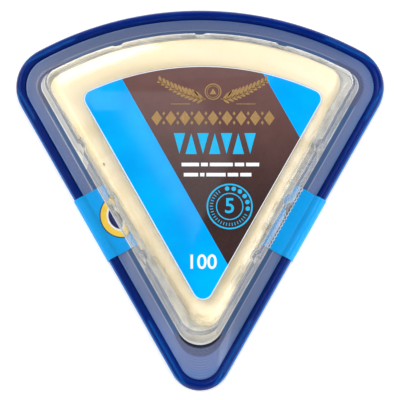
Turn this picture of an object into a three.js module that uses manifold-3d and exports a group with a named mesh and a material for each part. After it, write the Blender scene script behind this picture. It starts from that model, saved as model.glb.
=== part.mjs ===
// A wedge of blue cheese in its sealed retail pack, modelled in millimetres with +Z up.
//
// The pack is a wedge seen from above: two straight sides that open from a rounded tip at -Y
// to a curved back at +Y. From the table up it holds a back label, a flat tray with a raised
// rim, a liner, the cheese, a clear domed lid and a front label. The origin is the middle of
// the pack's footprint, on the table.

import * as THREE from 'three';
import Module from 'manifold-3d';
import { mergeVertices } from 'three/addons/utils/BufferGeometryUtils.js';

const wasm = await Module();
wasm.setup();

// ---------------------------------------------------------------- driving dimensions

const PACK_LENGTH = 125.2; // tip to curved back, along Y
const BACK_RADIUS = 110.3; // plan radius of the curved back
const HALF_ANGLE = THREE.MathUtils.degToRad(29.4); // between each side and the Y axis
const TIP_RADIUS = 10.1; // plan radius of the rim round the tip
const SHOULDER_RADIUS = 13.5; // plan radius of the rim where a side meets the back

const CLEARANCE = 0.3; // air kept between neighbouring pieces
const LABEL_SHEET = 0.3; // printed labels
const TRAY_SHEET = 0.7; // thermoformed tray
const LID_SHEET = 0.5; // thermoformed clear lid
const LINER_THICKNESS = 0.5;

const RIM_WIDTH = 3.3; // raised bead round the tray
const RIM_HEIGHT = 2.25; // bead above the tray's underside
const FOOT_INSET = 8.7; // from the rim to the foot of the lid's dome
const WALL_LEAN = 1.4; // how far the dome's wall leans inwards on its way up
const SIDE_CREASE_INSET = 12.5; // from the rim to the flat top, along the two sides
const BACK_CREASE_INSET = 13.9; // the same along the curved back
const LID_TOP = 25.4; // height of the dome's flat top above the table
const CREASE_DROP = 5.0; // height of the rounding between wall and flat top

const LUG_LENGTH = 3.8; // shallow upright notches that keep stacked lids apart
const LUG_FLANK = 0.7; // length of each sloping end of a notch
const LUG_DEPTH = 0.8;
const SIDE_LUGS = [54.0, 74.7, 95.4]; // distance from the point where the sides would meet
const BACK_LUGS = [-15.6, 0, 15.6].map(THREE.MathUtils.degToRad); // about the back's centre

const WHEEL_RADIUS = 98.5; // the cheese is a sixth of a round wheel
const CHEESE_HALF_ANGLE = THREE.MathUtils.degToRad(29.6);
const CHEESE_HEIGHT = 19.2;
const CHEESE_TIP_RADIUS = 5.8;
const CHEESE_SHOULDER_RADIUS = 4.5;
const CHEESE_CENTRE = new THREE.Vector2(3.1, -48.1); // where the wheel's centre would be
const CHEESE_TURN = THREE.MathUtils.degToRad(2.9); // the wedge has slid askew in its pack

const FRONT_LABEL = { side: 16.3, back: 22.8, shoulder: 3.2, tip: 3.5, shift: 0.9 };
const BACK_LABEL = { side: 11.0, back: 11.5, shoulder: 4.0, tip: 5.0 };
const EAR_WIDTH = 22.6; // two strips of the back label folded over the rim
const EAR_STATION = 71.8; // distance from the point where the sides would meet
const EAR_END_INSET = 7.7; // how far in from the rim an ear reaches on top

// ---------------------------------------------------------------- plan outlines

const SIDE_STEPS = 4; // straight pieces along each side, shared by its stretches
const CORNER_STEPS = 8; // along each corner's arc
const BACK_STEPS = 16; // along the back's arc

const packPlan = {
  halfAngle: HALF_ANGLE,
  radius: BACK_RADIUS,
  centreY: PACK_LENGTH / 2 - BACK_RADIUS,
  meetY: -PACK_LENGTH / 2 + TIP_RADIUS - TIP_RADIUS / Math.sin(HALF_ANGLE),
  lugs: true,
};

// Places along an edge where the outline has a point: four for each notch, and even steps on
// the plain stretches between notches. Distances run from start to end, either way.
function stations(start, end, notches, length, flank, steps) {
  const way = Math.sign(end - start);
  const ordered = [...notches].sort((a, b) => (a - b) * way);
  const stretches = ordered.length + 1;
  const stepsEach = steps / stretches;
  const along = [{ at: start, depth: 0 }];
  for (let s = 0; s < stretches; s += 1) {
    const from = along.at(-1).at;
    const to = s < ordered.length ? ordered[s] - way * length / 2 : end;
    for (let i = 1; i <= stepsEach; i += 1) {
      along.push({ at: THREE.MathUtils.lerp(from, to, i / stepsEach), depth: 0 });
    }
    if (s < ordered.length) {
      along.push({ at: ordered[s] - way * (length / 2 - flank), depth: 1 });
      along.push({ at: ordered[s] + way * (length / 2 - flank), depth: 1 });
      along.push({ at: ordered[s] + way * length / 2, depth: 0 });
    }
  }
  return along;
}

function arcPoints(centre, radius, from, to, steps) {
  const points = [];
  for (let i = 1; i < steps; i += 1) {
    const angle = THREE.MathUtils.lerp(from, to, i / steps);
    points.push(new THREE.Vector2(
      centre.x + radius * Math.cos(angle),
      centre.y + radius * Math.sin(angle),
    ));
  }
  return points;
}

// The rounded wedge outline, anticlockwise from the right shoulder, at a given inset from its
// plan. Every inset of one plan gives the same number of points, so outlines can be lofted.
function outline(plan, { side, back, shoulder, tip, lug = 0 }) {
  const sin = Math.sin(plan.halfAngle);
  const cos = Math.cos(plan.halfAngle);
  const meet = plan.meetY + side / sin;
  const radius = plan.radius - back;
  const tipCentre = new THREE.Vector2(0, meet + tip / sin);

  // The shoulder's centre is a shoulder radius inside both the right side and the back.
  const fromX = -cos * shoulder;
  const fromY = meet + sin * shoulder - plan.centreY;
  const half = fromX * sin + fromY * cos;
  const reach = -half + Math.sqrt(half * half - (fromX ** 2 + fromY ** 2 - (radius - shoulder) ** 2));
  const corner = new THREE.Vector2(fromX + reach * sin, fromY + reach * cos + plan.centreY);
  const cornerAngle = Math.atan2(corner.y - plan.centreY, corner.x);

  const points = [];
  const backLugs = plan.lugs ? BACK_LUGS.map((a) => Math.PI / 2 + a) : [];
  const backStations = stations(cornerAngle, Math.PI - cornerAngle, backLugs,
    LUG_LENGTH / BACK_RADIUS, LUG_FLANK / BACK_RADIUS, BACK_STEPS);
  for (const { at, depth } of backStations) {
    const r = radius - depth * lug;
    points.push(new THREE.Vector2(r * Math.cos(at), plan.centreY + r * Math.sin(at)));
  }

  const leftCorner = new THREE.Vector2(-corner.x, corner.y);
  points.push(...arcPoints(leftCorner, shoulder, Math.PI - cornerAngle,
    Math.PI + plan.halfAngle, CORNER_STEPS));

  // Along a side, distance is measured from the point where the plan's own sides would meet.
  const shift = side / Math.tan(plan.halfAngle);
  const top = shift + shoulderDistance(corner, meet, plan.halfAngle);
  const bottom = shift + tip / Math.tan(plan.halfAngle);
  const sideLugs = plan.lugs ? SIDE_LUGS : [];
  const sideStations = stations(top, bottom, sideLugs, LUG_LENGTH, LUG_FLANK, SIDE_STEPS);
  const left = sideStations.map(({ at, depth }) => {
    const inward = depth * lug;
    return new THREE.Vector2(
      -(at - shift) * sin + inward * cos,
      meet + (at - shift) * cos + inward * sin,
    );
  });
  points.push(...left);
  points.push(...arcPoints(tipCentre, tip, Math.PI + plan.halfAngle,
    2 * Math.PI - plan.halfAngle, CORNER_STEPS));
  points.push(...left.slice().reverse().map((p) => new THREE.Vector2(-p.x, p.y)));
  points.push(...arcPoints(corner, shoulder, -plan.halfAngle, cornerAngle, CORNER_STEPS));
  return points;
}

// Distance from the meeting point of the sides to the foot of the shoulder on one side.
function shoulderDistance(corner, meet, halfAngle) {
  return corner.x * Math.sin(halfAngle) + (corner.y - meet) * Math.cos(halfAngle);
}

// Corner radii of the pack's outlines: parallel to the rim at first, then tighter, because the
// flange is wider at its three corners.
function packRing(side, back, z, lug = 0) {
  const rim = {
    shoulder: SHOULDER_RADIUS - side,
    tip: TIP_RADIUS - side,
  };
  const foot = { shoulder: 4.3, tip: 6.6 };
  const crease = { shoulder: 3.6, tip: 4.5 };
  const between = (a, b, t) => ({
    shoulder: THREE.MathUtils.lerp(a.shoulder, b.shoulder, t),
    tip: THREE.MathUtils.lerp(a.tip, b.tip, t),
  });
  let corners = rim;
  if (side > RIM_WIDTH) {
    const edge = { shoulder: SHOULDER_RADIUS - RIM_WIDTH, tip: TIP_RADIUS - RIM_WIDTH };
    const across = Math.min(1, (side - RIM_WIDTH) / (FOOT_INSET - RIM_WIDTH));
    const inside = Math.max(0, (side - FOOT_INSET) / (SIDE_CREASE_INSET - FOOT_INSET));
    corners = between(between(edge, foot, across), crease, Math.min(1, inside));
  }
  return { points: outline(packPlan, { side, back, ...corners, lug }), z };
}

// ---------------------------------------------------------------- solids

// Closed body lofted through rings of equal length. The first ring is capped facing down the
// loft and the last facing up it. Heights may vary from point to point.
function loft(rings) {
  const count = rings[0].points.length;
  const positions = [];
  for (const ring of rings) {
    ring.points.forEach((p, i) => {
      positions.push(p.x, p.y, Array.isArray(ring.z) ? ring.z[i] : ring.z);
    });
  }
  const index = [];
  for (let r = 0; r + 1 < rings.length; r += 1) {
    for (let i = 0; i < count; i += 1) {
      const next = (i + 1) % count;
      const a = r * count + i;
      const b = r * count + next;
      const c = (r + 1) * count + next;
      const d = (r + 1) * count + i;
      index.push(a, b, c, a, c, d);
    }
  }
  const last = (rings.length - 1) * count;
  for (const [a, b, c] of THREE.ShapeUtils.triangulateShape(rings[0].points, [])) {
    index.push(a, c, b);
  }
  for (const [a, b, c] of THREE.ShapeUtils.triangulateShape(rings.at(-1).points, [])) {
    index.push(last + a, last + b, last + c);
  }
  const geometry = new THREE.BufferGeometry();
  geometry.setAttribute('position', new THREE.Float32BufferAttribute(positions, 3));
  geometry.setIndex(index);
  return geometry;
}

function toManifold(geometry) {
  const bare = geometry.clone();
  bare.deleteAttribute('normal');
  bare.deleteAttribute('uv');
  const merged = mergeVertices(bare, 1e-4);
  return new wasm.Manifold(new wasm.Mesh({
    numProp: 3,
    vertProperties: new Float32Array(merged.attributes.position.array),
    triVerts: new Uint32Array(merged.index.array),
  }));
}

function fromManifold(solid) {
  const mesh = solid.getMesh();
  const geometry = new THREE.BufferGeometry();
  geometry.setAttribute('position', new THREE.BufferAttribute(mesh.vertProperties, 3));
  geometry.setIndex(new THREE.BufferAttribute(mesh.triVerts, 1));
  return geometry;
}

function piece(name, geometry, color, roughness, extra = {}) {
  geometry.computeVertexNormals();
  const material = new THREE.MeshStandardMaterial({ color, roughness, metalness: 0, ...extra });
  const mesh = new THREE.Mesh(geometry, material);
  mesh.name = name;
  return mesh;
}

// ---------------------------------------------------------------- heights

const TRAY_UNDERSIDE = LABEL_SHEET + CLEARANCE;
const TRAY_TOP = TRAY_UNDERSIDE + TRAY_SHEET;
const BEAD_TOP = TRAY_UNDERSIDE + RIM_HEIGHT;
const FLANGE_UNDERSIDE = TRAY_TOP + CLEARANCE;
const FLANGE_TOP = FLANGE_UNDERSIDE + LID_SHEET;
const LINER_UNDERSIDE = TRAY_TOP + CLEARANCE;
const CHEESE_UNDERSIDE = LINER_UNDERSIDE + LINER_THICKNESS + CLEARANCE;

// ---------------------------------------------------------------- pieces

// One sheet of even thickness: a flat floor and sealing land inside a raised hollow bead, with
// an outer lip that turns back down.
function makeTray() {
  const under = TRAY_UNDERSIDE;
  const ring = (inset, z) => packRing(inset, inset, z);
  const crown = BEAD_TOP - TRAY_SHEET;
  return piece('base_tray', loft([
    ring(2.7, under),
    ring(2.3, crown - 0.5),
    ring(1.9, crown),
    ring(1.2, crown),
    ring(0.8, crown - 0.4),
    ring(TRAY_SHEET, under),
    ring(0, under),
    ring(0.1, BEAD_TOP - 0.9),
    ring(0.45, BEAD_TOP - 0.3),
    ring(1.0, BEAD_TOP),
    ring(1.9, BEAD_TOP),
    ring(2.5, BEAD_TOP - 0.4),
    ring(2.9, TRAY_TOP + 0.4),
    ring(RIM_WIDTH, TRAY_TOP),
  ]), 0x0b2f66, 0.35);
}

// Pad that lies on the tray, under the cheese.
function makeLiner() {
  const inset = FOOT_INSET + 1.6;
  return piece('liner', loft([
    packRing(inset, inset, LINER_UNDERSIDE),
    packRing(inset, inset, LINER_UNDERSIDE + LINER_THICKNESS),
  ]), 0xd9dadc, 0.85);
}

// Sealed flange, foot, leaning wall, rounded crease and flat top, as one even sheet. The wall
// has three upright notches on each side and three across the back.
function makeLid() {
  const start = RIM_WIDTH + 0.2;
  const wallTop = LID_TOP - CREASE_DROP;
  const crease = (turn, inside) => {
    const angle = turn * Math.PI / 2;
    const wall = FOOT_INSET + WALL_LEAN + inside;
    const side = THREE.MathUtils.lerp(wall, SIDE_CREASE_INSET + inside / 2, 1 - Math.cos(angle));
    const back = THREE.MathUtils.lerp(wall, BACK_CREASE_INSET + inside / 2, 1 - Math.cos(angle));
    const z = wallTop + (CREASE_DROP - inside) * Math.sin(angle);
    return packRing(side, back, z, LUG_DEPTH * (1 - turn));
  };
  const shell = (inside, base) => [
    packRing(FOOT_INSET - 0.8 + inside, FOOT_INSET - 0.8 + inside, base),
    packRing(FOOT_INSET - 0.3 + inside, FOOT_INSET - 0.3 + inside, base + 0.15, 0.3 * LUG_DEPTH),
    packRing(FOOT_INSET + inside, FOOT_INSET + inside, base + 0.7, LUG_DEPTH),
    crease(0, inside),
    crease(0.35, inside),
    crease(0.65, inside),
    crease(1, inside),
  ];
  return piece('clear_lid', loft([
    ...shell(LID_SHEET, FLANGE_UNDERSIDE).reverse(),
    packRing(start, start, FLANGE_UNDERSIDE),
    packRing(start, start, FLANGE_TOP),
    ...shell(0, FLANGE_TOP),
  ]), 0xf2f6fa, 0.08, { transparent: true, opacity: 0.3 });
}

// Wedge cut from a wheel, with softened edges and cut faces that are not quite flat.
function makeCheese() {
  const plan = {
    halfAngle: CHEESE_HALF_ANGLE, radius: WHEEL_RADIUS, centreY: 0, meetY: 0, lugs: false,
  };
  const levels = [
    { inset: 1.0, up: 0 },
    { inset: 0.2, up: 0.06 },
    { inset: 0, up: 0.25 },
    { inset: 0.5, up: 0.6 },
    { inset: 1.1, up: 0.88 },
    { inset: 1.6, up: 0.965 },
    { inset: 2.9, up: 1 },
    { inset: 12, up: 1.012 },
  ];
  const rings = levels.map(({ inset, up }) => {
    const points = outline(plan, {
      side: inset, back: inset, shoulder: CHEESE_SHOULDER_RADIUS, tip: CHEESE_TIP_RADIUS,
    });
    const uneven = points.map((p, i) => {
      const bulge = 0.18 * Math.sin(0.9 * i + 5 * up) + 0.12 * Math.sin(2.3 * i + 9 * up);
      return p.clone().multiplyScalar(1 - Math.abs(bulge) / WHEEL_RADIUS)
        .rotateAround(new THREE.Vector2(), CHEESE_TURN)
        .add(CHEESE_CENTRE);
    });
    return { points: uneven, z: CHEESE_UNDERSIDE + CHEESE_HEIGHT * up };
  });
  return piece('cheese_wedge', loft(rings), 0xf2e8c6, 0.6);
}

function makeFrontLabel() {
  const { shift, ...edge } = FRONT_LABEL;
  const points = outline({ ...packPlan, lugs: false }, edge)
    .map((p) => new THREE.Vector2(p.x + shift, p.y));
  const bottom = LID_TOP + CLEARANCE;
  return piece('front_label', loft([
    { points, z: bottom },
    { points, z: bottom + LABEL_SHEET },
  ]), 0x00b4f0, 0.4);
}

// Section of one ear: under the tray, up past the lip, over the bead and down on the flange.
function earSection() {
  const air = CLEARANCE;
  const skin = CLEARANCE + LABEL_SHEET;
  const s = new THREE.Shape();
  s.moveTo(-BACK_LABEL.side - 3, 0);
  s.lineTo(skin, 0);
  s.lineTo(skin, BEAD_TOP - 0.6);
  s.lineTo(0.1, BEAD_TOP + 0.35);
  s.lineTo(-0.8, BEAD_TOP + skin);
  s.lineTo(-2.1, BEAD_TOP + skin);
  s.lineTo(-3.6, FLANGE_TOP + skin);
  s.lineTo(-EAR_END_INSET, FLANGE_TOP + skin);
  s.lineTo(-EAR_END_INSET, FLANGE_TOP + air);
  s.lineTo(-3.7, FLANGE_TOP + air);
  s.lineTo(-2.1, BEAD_TOP + air);
  s.lineTo(-0.9, BEAD_TOP + air);
  s.lineTo(-0.1, BEAD_TOP + 0.05);
  s.lineTo(air, BEAD_TOP - 0.7);
  s.lineTo(air, LABEL_SHEET);
  s.lineTo(-BACK_LABEL.side - 3, LABEL_SHEET);
  s.closePath();
  return s;
}

// The section swept along the pack's side (mirror = -1 is the left one), where the ear folds.
function makeEar(mirror) {
  const strip = new THREE.ExtrudeGeometry(earSection(), {
    depth: EAR_WIDTH, bevelEnabled: false, steps: 1,
  });
  strip.translate(0, 0, -EAR_WIDTH / 2);
  const out = new THREE.Vector3(mirror * Math.cos(HALF_ANGLE), -Math.sin(HALF_ANGLE), 0);
  const up = new THREE.Vector3(0, 0, 1);
  const along = new THREE.Vector3().crossVectors(out, up);
  const place = new THREE.Matrix4().makeBasis(out, up, along);
  place.setPosition(
    mirror * EAR_STATION * Math.sin(HALF_ANGLE),
    packPlan.meetY + EAR_STATION * Math.cos(HALF_ANGLE),
    0,
  );
  return toManifold(strip.applyMatrix4(place));
}

function makeBackLabel() {
  const points = outline({ ...packPlan, lugs: false }, BACK_LABEL);
  const sheet = toManifold(loft([{ points, z: 0 }, { points, z: LABEL_SHEET }]));
  const folded = sheet.add(makeEar(1)).add(makeEar(-1));
  return piece('back_label', fromManifold(folded), 0x1496e6, 0.45);
}

// ---------------------------------------------------------------- assembly

const pack = new THREE.Group();
pack.name = 'cheese_wedge_pack';
pack.add(
  makeBackLabel(),
  makeTray(),
  makeLiner(),
  makeCheese(),
  makeLid(),
  makeFrontLabel(),
);

export default pack;
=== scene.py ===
# %% [markdown]
# # A wedge of blue cheese in its retail pack
#
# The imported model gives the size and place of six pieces: a back label, a flat tray, a liner,
# the cheese, a clear domed lid and a front label. This notebook makes each of them again as a
# finely shaped mesh with its own finish, in metres, on the frame that it loads first.

# %% Load the frame
from math import atan2, cos, exp, hypot, pi, radians, sin, sqrt

import bmesh
import bpy
from mathutils import Matrix, Vector, noise


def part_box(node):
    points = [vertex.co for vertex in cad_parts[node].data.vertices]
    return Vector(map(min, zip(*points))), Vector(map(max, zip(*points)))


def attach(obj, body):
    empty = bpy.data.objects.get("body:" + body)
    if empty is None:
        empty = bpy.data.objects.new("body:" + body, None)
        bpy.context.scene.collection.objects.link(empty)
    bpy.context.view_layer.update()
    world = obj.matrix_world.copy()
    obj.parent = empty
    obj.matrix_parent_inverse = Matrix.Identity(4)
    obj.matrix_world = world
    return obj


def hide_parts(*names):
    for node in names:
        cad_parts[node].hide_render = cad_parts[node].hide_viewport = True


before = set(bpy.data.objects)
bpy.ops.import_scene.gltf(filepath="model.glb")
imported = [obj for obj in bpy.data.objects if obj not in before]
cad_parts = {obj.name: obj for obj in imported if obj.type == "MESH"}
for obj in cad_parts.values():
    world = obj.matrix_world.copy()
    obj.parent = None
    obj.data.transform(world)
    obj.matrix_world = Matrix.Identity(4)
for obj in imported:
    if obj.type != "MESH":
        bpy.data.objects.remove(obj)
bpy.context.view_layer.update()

MM = 0.001
TRAY_LOW, TRAY_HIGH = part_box("base_tray")
LID_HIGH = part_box("clear_lid")[1]
CHEESE_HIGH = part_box("cheese_wedge")[1]
LINER_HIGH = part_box("liner")[1]
FRONT_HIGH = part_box("front_label")[1]
BACK_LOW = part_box("back_label")[0]
print("tray", [round(v / MM, 1) for v in TRAY_HIGH - TRAY_LOW], "mm, lid top at", round(LID_HIGH.z / MM, 1))

# %% [markdown]
# ## Camera
#
# The camera stands far off and looks nearly straight down, leaning a little towards the tip. A
# long lens keeps the tall lid from spreading outwards. It aims at the height of the seal, which
# is the widest flat part of the pack, so that the view's width can be stated in real size there.

# %% Camera
CAMERA_ELEVATION = radians(81.5)
CAMERA_DISTANCE = 1.5
VIEW_WIDTH = 130.2 * MM
SEAL_LEVEL = TRAY_LOW.z + 1.5 * MM
AIM = Vector((0, -0.4 * MM, SEAL_LEVEL))

camera_data = bpy.data.cameras.new("camera")
camera_data.sensor_width = 36
camera_data.lens = camera_data.sensor_width * CAMERA_DISTANCE / VIEW_WIDTH
camera_data.clip_end = 10
camera = bpy.data.objects.new("camera", camera_data)
away = Vector((0, -cos(CAMERA_ELEVATION), sin(CAMERA_ELEVATION)))
camera.location = AIM + away * CAMERA_DISTANCE
camera.rotation_euler = away.to_track_quat("Z", "Y").to_euler()
bpy.context.scene.collection.objects.link(camera)
bpy.context.scene.camera = camera
print("lens", round(camera_data.lens), "mm")

# %% [markdown]
# ## Soft lamps
#
# A pack is lit by wide soft boxes, so glossy plastic shows broad pale reflections and almost no
# hard shadow. Each lamp is a large square light aimed at the pack. The key stands high on the
# left, the fill lower on the right, and two weak ones soften the back and the tip.

# %% Lamps
SOFT_BOXES = {
    "key": {"place": (-0.5, 0.35, 1.1), "size": 0.7, "power": 7.2},
    "fill": {"place": (0.9, -0.2, 0.65), "size": 0.6, "power": 6},
    "back": {"place": (0.2, 1.1, 0.6), "size": 0.7, "power": 3.5},
    "front": {"place": (-0.3, -1.1, 0.55), "size": 0.5, "power": 2.5},
}


def soft_light(name, place, size, power):
    """A square area light that looks at the pack."""
    data = bpy.data.lights.new(name, "AREA")
    data.size = size
    data.energy = power
    data.spread = radians(180)
    light = bpy.data.objects.new(name, data)
    light.location = place
    light.rotation_euler = (Vector(place) - AIM).to_track_quat("Z", "Y").to_euler()
    bpy.context.scene.collection.objects.link(light)


for lamp, settings in SOFT_BOXES.items():
    soft_light(lamp, **settings)
print("lamps", list(SOFT_BOXES))

# %% [markdown]
# ## Light tent
#
# Round the lamps stands a white tent. It is bright all round and dark straight above, where the
# camera looks in. Flat glossy film therefore mirrors almost nothing, and keeps its deep colours.

# %% World
TENT_LIGHT = 0.6
OPENING_LIGHT = 0.03
world = bpy.data.worlds.new("light_tent")
bpy.context.scene.world = world
world.use_nodes = True
sky = world.node_tree
direction = sky.nodes.new("ShaderNodeTexCoord").outputs["Generated"]
height = sky.nodes.new("ShaderNodeSeparateXYZ")
sky.links.new(direction, height.inputs[0])
fall = sky.nodes.new("ShaderNodeMapRange")
fall.interpolation_type = "SMOOTHSTEP"
sky.links.new(height.outputs["Z"], fall.inputs["Value"])
fall.inputs["From Min"].default_value = 0.62
fall.inputs["From Max"].default_value = 0.92
fall.inputs["To Min"].default_value = TENT_LIGHT
fall.inputs["To Max"].default_value = OPENING_LIGHT
sky.links.new(fall.outputs["Result"], sky.nodes["Background"].inputs["Strength"])
sky.nodes["Background"].inputs["Color"].default_value = (1.0, 1.0, 1.0, 1.0)
bpy.context.scene.view_settings.view_transform = "Standard"
print("tent", TENT_LIGHT, "round the sides,", OPENING_LIGHT, "straight above")

# %% [markdown]
# ## Node helpers
#
# A finish is a tree of shader nodes. These helpers place a node, set its sockets and join it to
# the ones before it, so that each material below reads as a short recipe.

# %% Node helpers
def srgb(r, g, b):
    """A colour from 0 to 255 per channel, as the linear numbers that shaders take."""
    def linear(c):
        c /= 255
        return c / 12.92 if c <= 0.04045 else ((c + 0.055) / 1.055) ** 2.4
    return (linear(r), linear(g), linear(b), 1.0)


def node(tree, kind, settings=None, **sockets):
    """Adds a node. Sockets are given by name, as a value or as the output to link."""
    made = tree.nodes.new(kind)
    for key, value in (settings or {}).items():
        setattr(made, key, value)
    for key, value in sockets.items():
        name = key.replace("_", " ")
        socket = made.inputs[int(key[1:])] if key[0] == "i" and key[1:].isdigit() else made.inputs[name]
        if isinstance(value, bpy.types.NodeSocket):
            tree.links.new(value, socket)
        else:
            socket.default_value = value
    return made


def math(tree, operation, a, b=0.0):
    """One arithmetic step between two numbers or outputs."""
    return node(tree, "ShaderNodeMath", {"operation": operation}, i0=a, i1=b).outputs[0]


def vector_math(tree, operation, a, b=(0.0, 0.0, 0.0)):
    """One arithmetic step between two vectors. Returns the node, whose output depends on it."""
    return node(tree, "ShaderNodeVectorMath", {"operation": operation}, i0=a, i1=b)


def ramp(tree, value, low, high, to_low=0.0, to_high=1.0):
    """Smooth change from to_low to to_high as value goes from low to high."""
    made = node(tree, "ShaderNodeMapRange", {"interpolation_type": "SMOOTHSTEP"}, Value=value)
    made.inputs["From Min"].default_value = low
    made.inputs["From Max"].default_value = high
    made.inputs["To Min"].default_value = to_low
    made.inputs["To Max"].default_value = to_high
    return made.outputs["Result"]


def blend_colours(tree, factor, a, b):
    """Colour a where the factor is 0 and b where it is 1."""
    made = tree.nodes.new("ShaderNodeMix")
    made.data_type = "RGBA"
    for socket, value in ((made.inputs[0], factor), (made.inputs[6], a), (made.inputs[7], b)):
        if isinstance(value, bpy.types.NodeSocket):
            tree.links.new(value, socket)
        else:
            socket.default_value = value
    return made.outputs[2]


def noise_of(tree, place, scale, detail=3.0, roughness=0.5):
    """Soft random cloud, from 0 to 1. Scale is in features per metre."""
    made = node(tree, "ShaderNodeTexNoise", Vector=place, Scale=scale, Detail=detail, Roughness=roughness)
    return made.outputs["Fac"]


def new_material(name):
    """An empty material with a Principled shader. Returns it, its tree, shader and place."""
    material = bpy.data.materials.new(name)
    material.use_nodes = True
    tree = material.node_tree
    shader = tree.nodes["Principled BSDF"]
    place = node(tree, "ShaderNodeTexCoord").outputs["Object"]
    return material, tree, shader, place


def bump(tree, height, distance, strength=1.0):
    """Tilts the surface as if it stood distance metres proud where height is 1."""
    made = node(tree, "ShaderNodeBump", Height=height, Distance=distance, Strength=strength)
    return made.outputs["Normal"]


def attribute(tree, name):
    """A value that a mesh stores at its points."""
    return node(tree, "ShaderNodeAttribute", {"attribute_name": name}).outputs["Fac"]


HELPERS = (srgb, node, math, vector_math, ramp, blend_colours, noise_of, new_material, bump, attribute)
print("helpers", [helper.__name__ for helper in HELPERS])


# %% [markdown]
# ## Shared effect: handling marks
#
# Thin plastic and film labels are never perfectly flat or clean. Broad soft waves come from
# cooling and shrinking, and faint scuffs and dust dull the gloss in places. All the pack's
# plastic needs both at different strengths, so the effect is one node group.

# %% Handling marks
def make_handling_marks():
    group = bpy.data.node_groups.new("handling_marks", "ShaderNodeTree")
    face = group.interface
    face.new_socket("Place", in_out="INPUT", socket_type="NodeSocketVector")
    for name, value in (("Wave", 1.0), ("Scuff", 1.0), ("Gloss", 0.2)):
        face.new_socket(name, in_out="INPUT", socket_type="NodeSocketFloat").default_value = value
    face.new_socket("Height", in_out="OUTPUT", socket_type="NodeSocketFloat")
    face.new_socket("Roughness", in_out="OUTPUT", socket_type="NodeSocketFloat")
    start = group.nodes.new("NodeGroupInput")
    end = group.nodes.new("NodeGroupOutput")
    waves = noise_of(group, start.outputs["Place"], 60, 1.5)
    fine = noise_of(group, start.outputs["Place"], 900, 4, 0.7)
    streaks = node(group, "ShaderNodeMapping", Vector=start.outputs["Place"], Scale=(260, 45, 90)).outputs[0]
    scuffs = ramp(group, noise_of(group, streaks, 6, 5, 0.65), 0.52, 0.75)
    height = math(group, "MULTIPLY", waves, start.outputs["Wave"])
    grain = math(group, "MULTIPLY", fine, 0.04)
    group.links.new(math(group, "ADD", height, grain), end.inputs["Height"])
    dull = math(group, "MULTIPLY", scuffs, start.outputs["Scuff"])
    dull = math(group, "MULTIPLY", dull, 0.18)
    group.links.new(math(group, "ADD", dull, start.outputs["Gloss"]), end.inputs["Roughness"])
    return group


HANDLING_MARKS = make_handling_marks()


def handling_marks(tree, place, wave, scuff, gloss):
    """Places the shared group. Returns its height and roughness."""
    made = tree.nodes.new("ShaderNodeGroup")
    made.node_tree = HANDLING_MARKS
    tree.links.new(place, made.inputs["Place"])
    made.inputs["Wave"].default_value = wave
    made.inputs["Scuff"].default_value = scuff
    made.inputs["Gloss"].default_value = gloss
    return made.outputs["Height"], made.outputs["Roughness"]


print("group", HANDLING_MARKS.name, "with", len(HANDLING_MARKS.nodes), "nodes")


# %% [markdown]
# ## The wedge outline
#
# Every sheet of the pack has the same plan: two straight sides, a round tip and a curved back
# that meets the sides in two round shoulders. One vertex can draw it: it is spun round each
# corner's centre and run along each side, and the trail of edges that it leaves is the outline.
# Outlines at different insets and heights have the same number of edges, so bridging two of them
# gives clean rows of four-sided faces.

# %% Outline from one travelling vertex
HALF_ANGLE = radians(29.4)
BACK_RADIUS = 110.3 * MM
TIP_RADIUS = 10.1 * MM
SHOULDER_RADIUS = 13.5 * MM
RIM_WIDTH = 3.3 * MM
FOOT_INSET = 8.7 * MM
CREASE_INSET = 12.5 * MM
BACK_CREASE_INSET = 13.9 * MM
FOOT_RADII = (4.3, 7.9)
CREASE_RADII = (3.6, 5.0)
PACK_PLAN = {
    "half_angle": HALF_ANGLE,
    "radius": BACK_RADIUS,
    "centre_y": TRAY_HIGH.y - BACK_RADIUS,
    "meet_y": TRAY_LOW.y + TIP_RADIUS - TIP_RADIUS / sin(HALF_ANGLE),
}


def spin_on(bm, vert, centre, angle, steps, step=(0, 0, 0)):
    """Carries a vertex round a centre, or along steps, and returns where it stops."""
    trail = bmesh.ops.spin(bm, geom=[vert], cent=centre, axis=(0, 0, 1), dvec=step,
                           angle=angle, steps=steps, use_duplicate=False)
    return next(g for g in trail["geom_last"] if isinstance(g, bmesh.types.BMVert))


def walk_round(first):
    """The edges of the closed line that a vertex belongs to, in order."""
    edge = first.link_edges[0]
    vert = edge.other_vert(first)
    edges = [edge]
    while vert is not first:
        edge = next(e for e in vert.link_edges if e is not edge)
        vert = edge.other_vert(vert)
        edges.append(edge)
    return edges


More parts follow.
